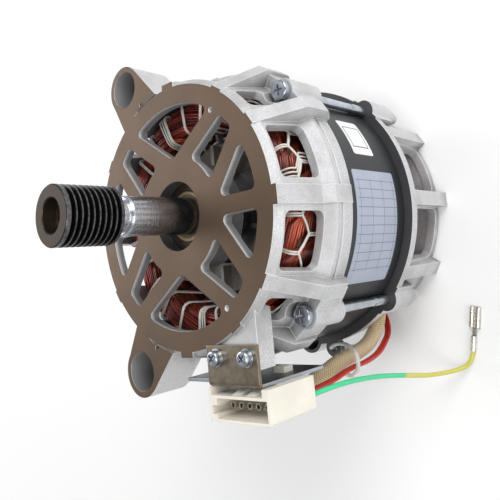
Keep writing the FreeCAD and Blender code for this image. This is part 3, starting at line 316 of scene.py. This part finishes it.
def copper_material(name, low, high):
    """Enamelled copper wire, each strand a little lighter or darker than the next, with a darker crimson on the
    upward faces of the front ends as painted shade.
    """
    look = Look(name, high, rough=0.3, metallic=0.55, Coat_Weight=0.6, Coat_Roughness=0.25)
    strand = look.new("ShaderNodeAttribute")
    strand.attribute_name = "tone"
    lightness = look.plus(look.times(strand.outputs["Fac"], 0.75), look.times(look.noise(120.0, detail=2.0), 0.35))
    lightness = look.ramp(lightness, 0.12, 0.80)
    # Painted shade: the upward faces of the front ends are toned darker crimson than the lit sides
    shaded_front_end = look.times(look.ramp(look.z, FRONT_TURNS_Z, FRONT_TURNS_TOP_Z), look.ramp(look.facing[2], 0.1, 0.8))
    crimson = look.mix(lightness, (0.050, 0.006, 0.008), (0.34, 0.045, 0.035))
    look.colour(look.mix(shaded_front_end, look.mix(lightness, low, high), crimson))
    look.bump(look.noise(1500.0, detail=2.0), strength=0.08, distance=0.0001)
    return look.mat


def woven_material(name, dark, light, turns, pitch):
    """Plaited sleeving: two sets of yarns that cross, laid by the tube's own unwrapping."""
    look = Look(name, light, rough=0.75, Sheen_Weight=0.3)
    run, round_it = look.split(look.unwrapped)[:2]
    along = look.times(run, 1.0 / pitch)
    across = look.times(round_it, turns)
    yarns = []
    for sign in (1.0, -1.0):
        lean = look.plus(along, look.times(across, sign))
        yarns.append(look.size_of(look.maths("SINE", look.times(lean, math.pi))))
    height = look.maths("MAXIMUM", *yarns)
    # The colour follows the yarns' height, going dark between the yarns as painted shade
    tone = look.plus(look.times(height, 0.5), look.times(look.times(*yarns), 0.5))
    look.colour(look.mix(tone, dark, light))
    look.bump(tone, strength=0.9, distance=0.0004)
    return look.mat


def cord_material():
    """White lacing cord with fine fibres."""
    look = Look("lacing_white", (0.80, 0.78, 0.72), rough=0.7, Sheen_Weight=0.3)
    fibres = look.noise(2600.0, detail=2.0)
    look.colour(look.mix(fibres, (0.62, 0.59, 0.52), (0.90, 0.89, 0.85)))
    look.bump(fibres, strength=0.6, distance=0.0002)
    return look.mat


def earth_material():
    """Green insulation that turns to its yellow side lower down, as the lead twists."""
    look = Look("earth_green_yellow", (0.07, 0.62, 0.30), rough=0.32, Coat_Weight=0.2)
    drop = look.plus(look.z, look.times(look.plus(look.x, look.y), 0.55))
    drop = look.plus(drop, look.times(look.noise(40.0, detail=1.0), 0.004))
    side = look.ramp(drop, -0.0365, -0.0345)
    look.colour(look.mix(side, (0.60, 0.56, 0.10), (0.05, 0.60, 0.27)))
    look.bump(look.noise(2500.0, detail=2.0), strength=0.1, distance=0.00005)
    return look.mat


def angle_round_wrap(look):
    """The angle round the shaft, from the side towards -Y."""
    return look.maths("ARCTAN2", look.x, look.times(look.y, -1.0))


def plate_material():
    """A bare pale plate with ruled lines and no lettering."""
    line_half, overrun = 0.00016, 0.2
    columns = (-0.0345, 0.0042, 10)
    rows = (0.0515, 0.0095, 3)
    look = Look("nameplate_pale", (0.38, 0.42, 0.51), rough=0.4, metallic=0.15)
    wide = look.times(angle_round_wrap(look), WRAP_RADIUS)
    drawn, inside = [], []
    for value, (start, pitch, count) in ((wide, columns), (look.z, rows)):
        step = look.maths("DIVIDE", look.minus(value, start), pitch)
        drawn.append(look.under(look.maths("PINGPONG", step, 0.5), line_half / pitch))
        inside.append(look.times(look.above(step, -overrun), look.under(step, count + overrun)))
    rules = look.times(look.maths("MAXIMUM", *drawn), look.times(*inside))
    ground = look.mix(look.noise(80.0, detail=2.0), (0.33, 0.37, 0.46), (0.43, 0.47, 0.56))
    look.colour(look.mix(rules, ground, (0.16, 0.18, 0.22)))
    return look.mat


def sticker_material():
    """A white sticker with a plain dark frame."""
    white = (0.80, 0.81, 0.81)
    middle_angle, middle_z = math.radians(26.5), 0.06795
    frame_inner, frame_outer = 0.0058, 0.0063
    look = Look("sticker_white", white, rough=0.45)
    wide = look.times(look.minus(angle_round_wrap(look), middle_angle), WRAP_RADIUS)
    tall = look.minus(look.z, middle_z)
    reach = look.maths("MAXIMUM", look.size_of(wide), look.size_of(tall))
    line = look.times(look.above(reach, frame_inner), look.under(reach, frame_outer))
    look.colour(look.mix(line, white, (0.02, 0.02, 0.02)))
    return look.mat


def bracket_material():
    """Plated sheet steel: olive-brown on the screwed flange; elsewhere nearly black as painted shade where it faces
    along X and bright as painted light where it doesn't."""
    look = Look("bracket_plated", (0.27, 0.235, 0.19), rough=0.3, metallic=0.9)
    wear = look.noise(350.0, detail=4.0)
    worn = look.ramp(wear, 0.3, 0.7)
    olive = look.mix(worn, (0.20, 0.165, 0.12), (0.30, 0.26, 0.20))
    dark = look.mix(worn, (0.012, 0.016, 0.022), (0.05, 0.06, 0.075))
    # Painted shade on the sides that face along X and painted light on the others
    side = look.above(look.size_of(look.facing[0]), 0.8)
    tray_light_and_shade = look.mix(side, (0.42, 0.45, 0.50), dark)
    look.colour(look.mix(look.above(look.z, FLANGE_Z), tray_light_and_shade, olive))
    look.bump(wear, strength=0.12, distance=0.0001, edge=0.0004)
    return look.mat


def race_material():
    """The bearing's inner ring: dark steel with a thin brass-coloured line at its outer edge."""
    look = Look("race_dark", (0.05, 0.045, 0.04), rough=0.55, metallic=0.4)
    wear = look.noise(600.0)
    dark = look.mix(wear, (0.030, 0.022, 0.015), (0.070, 0.052, 0.035))
    look.colour(look.mix(look.above(look.around(), RACE_EDGE_RADIUS), dark, (0.26, 0.17, 0.075)))
    look.bump(wear, strength=0.1, distance=0.0001, edge=0.0003)
    return look.mat


def laminated_material():
    """Stacked sheet steel: fine lines across the shaft axis."""
    look = Look("laminations", (0.20, 0.20, 0.21), rough=0.45, metallic=0.9)
    lines = look.size_of(look.maths("SINE", look.times(look.z, math.pi / LAMINATION)))
    tone = look.plus(look.times(lines, 0.5), look.times(look.noise(500.0), 0.5))
    look.colour(look.mix(tone, (0.10, 0.10, 0.105), (0.30, 0.30, 0.31)))
    look.bump(lines, strength=0.4, distance=0.0001)
    return look.mat


# Mesh pieces

def linked(name, data):
    """A new object in the scene."""
    made = bpy.data.objects.new(name, data)
    bpy.context.scene.collection.objects.link(made)
    return made


def rings_along(mesh, points, radius, sides, closed):
    """Rings of new vertices round a line of points, each ring turned as little as can be from the last."""
    count = len(points)
    side = None
    rings = []
    for n, point in enumerate(points):
        before = points[(n - 1) % count] if closed or n else point
        after = points[(n + 1) % count] if closed or n < count - 1 else point
        along = (after - before).normalized()
        if side is None:
            side = along.orthogonal().normalized()
        side = (side - along * side.dot(along)).normalized()
        other = along.cross(side)
        ring = []
        for m in range(sides):
            turn = 2 * math.pi * m / sides
            ring.append(mesh.verts.new(point + (side * math.cos(turn) + other * math.sin(turn)) * radius * MM))
        rings.append(ring)
    return rings


def pipe(name, paths, radius, sides, mat, tones=None, closed=False):
    """One mesh of round strands; each path is a list of points in millimetres. Unwrapped along and round."""
    mesh = bmesh.new()
    uv = mesh.loops.layers.uv.new("UVMap")
    tone_layer = mesh.verts.layers.float.new("tone")
    for k, path in enumerate(paths):
        points = [Vector(p) * MM for p in path]
        rings = rings_along(mesh, points, radius, sides, closed)
        for ring in rings:
            for vert in ring:
                vert[tone_layer] = tones[k] if tones else 0.5
        spans = [(n, n + 1) for n in range(len(points) - 1)]
        if closed:
            spans.append((len(points) - 1, 0))
        start = 0.0
        for a, b in spans:
            end = start + (points[b] - points[a]).length
            for m in range(sides):
                beside = (m + 1) % sides
                face = mesh.faces.new((rings[a][m], rings[a][beside], rings[b][beside], rings[b][m]))
                face.smooth = True
                for loop, u, v in zip(face.loops, (start, start, end, end), (m, m + 1, m + 1, m)):
                    loop[uv].uv = (u / MM, v / sides)
            start = end
        if not closed:
            mesh.faces.new(list(reversed(rings[0])))
            mesh.faces.new(rings[-1])
    data = bpy.data.meshes.new(name)
    mesh.to_mesh(data)
    mesh.free()
    data.materials.append(mat)
    return linked(name, data)


def polar(radius, angle, z):
    """A point from its radius, its angle in degrees and its height."""
    turn = math.radians(angle)
    return (radius * math.cos(turn), radius * math.sin(turn), z)


def smooth(t):
    """0 to 1 with a soft start and end."""
    t = min(1.0, max(0.0, t))
    return t * t * (3 - 2 * t)


def end_turns(name, slot_end, tip, rows, seed, mat):
    """The end turns of a distributed winding: each coil leaves one slot low in the bundle and
    crosses it outwards to another slot, strand on strand."""
    # Millimetres, and the span of a coil and its strands' wander in degrees
    strand_radius, span, points = 0.72, 75.0, 17
    start_radius, column_step, crossing = 44.2, 1.25, 12.6
    inner, outer = 43.6, 58.5
    lowest, foot, top_gap, tip_gap = 1.0, -0.8, 1.7, 0.7
    first_ease, more_ease = 0.10, 0.10
    steady, eased = 0.7, 0.3
    wander, bulge_share = 0.4, 0.3
    wave_rate, lift_rate, most_turn = 5, 6, 6
    shade_below, shade_depth = 5.5, 5.0
    coil_spread, strand_spread = 0.4, 0.6
    dice = random.Random(seed)
    way = 1 if tip > slot_end else -1
    height = abs(tip - slot_end)
    paths, tones = [], []
    for coil in range(SLOTS):
        coil_tone = dice.random() * coil_spread
        for row in range(rows):
            level = lowest + (height - top_gap) * row / (rows - 1)
            ease = first_ease + more_ease * row / rows
            for column in range(2):
                drift = [dice.uniform(-wander, wander) for _ in range(6)]
                wave, wave_turn, bulge, lift, lift_turn, shift = drift
                path = []
                for n in range(points):
                    t = n / (points - 1)
                    rise = smooth(t / ease) * smooth((1 - t) / ease)
                    swing = math.sin(math.pi * t)
                    r = start_radius + column * column_step + crossing * smooth(t)
                    r += swing * (wave * math.sin(wave_rate * t + wave_turn * most_turn) + bulge_share * bulge)
                    z = rise * (level + swing * lift * math.cos(lift_rate * t + lift_turn * most_turn))
                    angle = SLOT_PITCH * coil + span * (t * steady + eased * smooth(t)) + shift
                    r = min(outer, max(inner, r))
                    path.append(polar(r, angle, slot_end + way * min(height - tip_gap, max(foot, z))))
                paths.append(path)
                # Painted shade: strands low in the bundle get a darker tone, where the coils go into the slots
                lit = smooth((level - shade_below) / shade_depth)
                tones.append(lit * min(1.0, max(0.0, coil_tone + dice.uniform(0.0, strand_spread))))
    return pipe(name, paths, strand_radius, STRAND_SIDES, mat, tones=tones)


def hoop_path(angle, inner, outer, low, high, knots):
    """One cord round the bundle: a rounded rectangle that steps sideways between two knots outside."""
    corner, corner_steps, knot_lift = 3.4, 4, 0.2
    up, down = knots
    outline = []
    for n, (r, z) in enumerate(((outer, low), (outer, high), (inner, high), (inner, low))):
        cr = r + (corner if r == inner else -corner)
        cz = z + (corner if z == low else -corner)
        for step in range(corner_steps + 1):
            turn = math.radians(-90 + 90 * n + 90 / corner_steps * step)
            outline.append((cr + corner * math.cos(turn), cz + corner * math.sin(turn)))
        if n == 0:
            first, last = sorted((up, down))
            outline += [(outer, first), (outer + knot_lift, (first + last) / 2), (outer, last)]
    path = []
    for r, z in outline:
        if r > outer - corner:
            share = min(1.0, max(0.0, (up - z) / (up - down)))
        else:
            share = (z - low) / (high - low)
            share = 1.0 - share if up > down else share
        path.append(polar(r, angle + HALF_PITCH * share, z))
    return path


def lacing(name, low, high, knots, seed, mat):
    """Lock-stitched cord: double hoops whose knots alternate up and down outside, joined in a zigzag,
    with more hoops close together at some places."""
    inner, outer = 42.5, 59.55
    hoop_radius, tie_radius, tie_steps = 0.42, 0.48, 8
    tie_lift, tie_bow, knot_lift = 0.05, 0.35, 0.2
    knot_half, most_shift = 0.9, 0.6  # degrees
    beside, extra_chance, extras = 0.5, 0.22, (2.2, 4.0)  # beside and extras in degrees
    dice = random.Random(seed)
    up, down = knots
    hoops, ties = [], []
    for n in range(SLOTS):
        angle = HALF_PITCH + SLOT_PITCH * n
        shift = dice.uniform(-most_shift, most_shift)
        offsets = (-beside, beside)
        if dice.random() < extra_chance:
            offsets += extras
        for offset in offsets:
            hoops.append(hoop_path(angle + shift + offset, inner, outer, low, high, knots))
        run = []
        for step in range(tie_steps + 1):
            t = step / tie_steps
            bow = tie_bow * math.sin(math.pi * t)
            run.append(polar(outer + tie_lift + bow, angle + shift - HALF_PITCH * t, up + (down - up) * t))
        ties.append(run)
        for knot, place in ((up, angle + shift), (down, angle + shift + HALF_PITCH)):
            ties.append([polar(outer + knot_lift, place + turn, knot) for turn in (-knot_half, 0.0, knot_half)])
    rings = pipe(name + "_hoops", hoops, hoop_radius, STRAND_SIDES, mat, closed=True)
    runs = pipe(name + "_ties", ties, tie_radius, STRAND_SIDES, mat)
    return rings, runs


def core(name, low, high, mat):
    """The inside of a wound bundle, in copper toned dark as painted shade, seen only between its strands: a ring of
    radius 1, stretched to fill it.
    """
    radius, half_width, steps, sides, margin = 51.2, 6.0, 48, 12, 4.5
    path = [polar(radius, 360 / steps * n, (low + high) / 2) for n in range(steps)]
    made = pipe(name, [path], 1.0, sides, mat, closed=True)
    middle = (low + high) / 2 * MM
    for vert in made.data.vertices:
        flat = Vector((vert.co.x, vert.co.y, 0))
        out = flat.length - radius * MM
        scale = (radius * MM + out * half_width) / flat.length
        z = middle + (vert.co.z - middle) * (high - low - margin) / 2
        vert.co = Vector((flat.x * scale, flat.y * scale, z))
    return made


def route_curve(name, route):
    """A smooth curve object whose control points are the route's points."""
    data = bpy.data.curves.new(name, "CURVE")
    data.dimensions = "3D"
    line = data.splines.new("NURBS")
    line.points.add(len(route) - 1)
    for point, place in zip(line.points, route):
        point.co = (*(c * MM for c in place), 1.0)
    line.order_u = 3
    line.use_endpoint_u = True
    data.resolution_u = 12
    return linked(name, data)


def followed(route):
    """The points along a route's smooth curve, in millimetres."""
    guide = route_curve("guide", route)
    line = bpy.data.meshes.new_from_object(guide)
    path = [vert.co / MM for vert in line.vertices]
    bpy.data.objects.remove(guide)
    return path


def give(names, mat):
    """Puts a material on CAD nodes."""
    for name in names:
        data = nodes[name].data
        data.materials.clear()
        data.materials.append(mat)


# The brown of the front shield's machined face is a painted reflection
brown = (0.120, 0.079, 0.053)
rear_grey = (0.085, 0.085, 0.088)
give(["front_shield"], casting("cast_front", FRONT_FACE_Z, brown, machined_rough=0.56, inside_top=FRONT_INSIDE_TOP_Z))
give(["rear_shield"], casting("cast_rear", REAR_FACE_Z, rear_grey, machined_rough=0.5, inside_top=0.0))
give(["stator_core", "rotor_core"], laminated_material())
give(["stator_wrap"], plastic("wrap_dark", (0.016, 0.017, 0.020), 0.42, grain=1200.0))
give(["slot_liners"], plastic("slot_paper", (0.75, 0.71, 0.60), 0.8))
give(["slot_wedges"], plastic("slot_strip", (0.78, 0.76, 0.68), 0.6))
copper = copper_material("copper_enamel", (0.045, 0.006, 0.005), (0.62, 0.110, 0.045))
# Copper toned dark as painted shade, for the coil sides in the slots and the bundles' insides
shaded_copper = copper_material("copper_shaded", (0.06, 0.010, 0.006), (0.14, 0.026, 0.014))
give(["coil_sides"], shaded_copper)
give(["thermal_protector"], plastic("protector_black", (0.03, 0.03, 0.03), 0.4))
give(["rotor_cage"], metal("cage_cast", (0.36, 0.34, 0.32), 0.55, grain=1200.0))
give(["shaft"], shaft_material())
give(["pulley"], pulley_material())
give(["front_outer_ring", "rear_outer_ring"], metal("race_steel", (0.12, 0.10, 0.08), 0.32, edge=0.0003))
give(["front_inner_ring", "rear_inner_ring"], race_material())
give(["front_balls", "rear_balls"], metal("ball_steel", (0.75, 0.75, 0.75), 0.12))
give(["front_ball_cage", "rear_ball_cage"], metal("ball_cage", (0.42, 0.36, 0.26), 0.4))
give(["front_bearing_shields", "rear_bearing_shields"], plastic("bearing_cover", (0.022, 0.015, 0.010), 0.55))
give(["wave_spring"], metal("spring_steel", (0.35, 0.35, 0.37), 0.3))
zinc = metal("zinc_blue", (0.50, 0.54, 0.59), 0.26, edge=0.0003, grain=140.0)
give(["through_bolts", "bracket_screws", "bracket_washers"], zinc)
give(["connector_bracket"], bracket_material())
ivory = plastic("ivory_nylon", (0.80, 0.76, 0.67), 0.42, grain=1500.0, depth=0.00005,
                Subsurface_Weight=0.1, Subsurface_Scale=0.002)
give(["connector_housing"], ivory)
give(["connector_contacts", "ground_terminal"], metal("tinned", (0.66, 0.64, 0.58), 0.28, edge=0.0002))
give(["phase_leads"], plastic("lead_white", (0.72, 0.70, 0.64), 0.4))
give(["protector_leads"], plastic("lead_red", (0.52, 0.025, 0.012), 0.32))
nylon = plastic("tie_nylon", (0.80, 0.80, 0.76), 0.30, grain=1500.0, depth=0.00004, Transmission_Weight=0.35)
give(["cable_tie"], nylon)
give(["nameplate"], plate_material())
give(["inspection_sticker"], sticker_material())

# Wound copper and its lacing, in place of the plain turns and hoops
lace = cord_material()
for end, slot_end, tip, low, high, knots, rows, seed in (
    ("front", 95.6, 116.0, 94.75, 116.6, (112.0, 107.2), 13, 11),
    ("rear", 36.9, 20.6, 20.1, 37.8, (26.1, 30.6), 10, 23),
):
    turns = end_turns(end + "_end_turns", slot_end, tip, rows, seed, copper)
    heart = core(end + "_heart", min(slot_end, tip), max(slot_end, tip), shaded_copper)
    heart.parent = turns
    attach(turns, "housing")
    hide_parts(end + "_winding")
    hoops, ties = lacing(end + "_lacing", low, high, knots, seed + 1, lace)
    ties.parent = hoops
    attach(hoops, "housing")
    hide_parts(end + "_lacing")

# The woven sleeve over the phase leads
sleeve_route = [
    (-84.5, -27.5, 90.0), (-81.5, -30.5, 78.0), (-76.5, -32.0, 64.0), (-75.5, -32.0, 50.0),
    (-72.5, -32.0, 36.0), (-62.5, -31.6, 24.0), (-57.4, -30.6, 21.8),
]
woven = woven_material("sleeve_woven", (0.30, 0.19, 0.09), (0.86, 0.68, 0.42), turns=14.0, pitch=1.3)
sleeve = pipe("lead_sleeve_woven", [followed(sleeve_route)], radius=3.95, sides=28, mat=woven)
wall = sleeve.modifiers.new("wall", "SOLIDIFY")
wall.thickness = 0.0005
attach(sleeve, "housing")
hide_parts("lead_sleeve")

# The free earth lead
earth_route = [
    (-83.0, -45.5, 106.0), (-83.0, -45.5, 100.5), (-82.2, -47.6, 88.0), (-82.4, -50.2, 75.0), (-84.2, -51.6, 59.0),
    (-87.3, -53.8, 42.0), (-91.0, -57.0, 25.0), (-92.6, -60.5, 11.0), (-91.6, -68.0, 3.2), (-87.6, -73.2, 1.6),
    (-81.2, -74.5, 1.6),
]
earth = route_curve("earth_lead", earth_route)
earth.data.bevel_depth = 0.0012
earth.data.bevel_resolution = 6
earth.data.use_fill_caps = True
earth.data.materials.append(earth_material())
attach(earth, "housing")
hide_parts("ground_lead")


# Floor, light and camera

MOTOR_MIDDLE = Vector((0.0, 0.0, 0.08))


def area(name, place, size, power):
    """A rectangular lamp that shines on the motor's middle."""
    data = bpy.data.lights.new(name, "AREA")
    data.shape = "RECTANGLE"
    data.size, data.size_y = size
    data.energy = power
    lamp = linked(name, data)
    lamp.location = place
    lamp.rotation_euler = (MOTOR_MIDDLE - Vector(place)).to_track_quat("-Z", "Y").to_euler()


area("key", (0.75, -0.55, 0.75), (0.7, 0.7), 7.5)
area("fill", (-0.35, -0.95, 0.55), (0.8, 0.6), 3.6)
area("back", (0.25, 0.9, 0.6), (0.8, 0.5), 5.0)
area("front", (-0.25, -0.35, 1.1), (0.5, 0.5), 3.0)

# A pale floor that goes over into the white background with distance
pale = Look("floor_pale", (0.93, 0.93, 0.93), rough=0.9)
far = pale.ramp(pale.around(), 0.25, 0.7)
glow = pale.new("ShaderNodeEmission", Color=(1.0, 1.0, 1.0, 1.0))
blend = pale.new("ShaderNodeMixShader")
pale.link(pale.times(far, pale.shown_or_lit(lit=0.0)), blend.inputs[0])
pale.link(pale.tree.nodes["Principled BSDF"].outputs[0], blend.inputs[1])
pale.link(glow.outputs[0], blend.inputs[2])
pale.link(blend.outputs[0], pale.tree.nodes["Material Output"].inputs["Surface"])
half = 4.0
floor_data = bpy.data.meshes.new("floor")
floor_data.from_pydata([(-half, -half, 0), (half, -half, 0), (half, half, 0), (-half, half, 0)], [], [(0, 1, 2, 3)])
floor_data.materials.append(pale.mat)
floor = linked("floor", floor_data)
floor.location.z = -0.0002

world = bpy.data.worlds.new("studio")
world.use_nodes = True
background = world.node_tree.nodes["Background"]
background.inputs[0].default_value = (1.0, 1.0, 1.0, 1.0)
world.node_tree.links.new(Shading(world.node_tree).shown_or_lit(lit=0.36), background.inputs[1])
bpy.context.scene.world = world

# The camera, as solved from the photograph's face ring, rods and shaft
camera_data = bpy.data.cameras.new("photo")
camera_data.lens = 40.92
camera_data.sensor_width = 36.0
camera_data.shift_x = -0.1576
camera_data.shift_y = -0.1186
camera_data.clip_start = 0.01
camera = linked("photo", camera_data)
forward = Vector((0.135, 0.602, -0.787)).normalized()
upward = Vector((0.985, -0.170, 0.039))
upward = (upward - forward * upward.dot(forward)).normalized()
turn = Matrix((forward.cross(upward), upward, -forward)).transposed()
camera.matrix_world = Matrix.Translation((-0.0310, -0.2111, 0.2909)) @ turn.to_4x4()
bpy.context.scene.camera = camera
bpy.context.scene.view_settings.view_transform = "Standard"
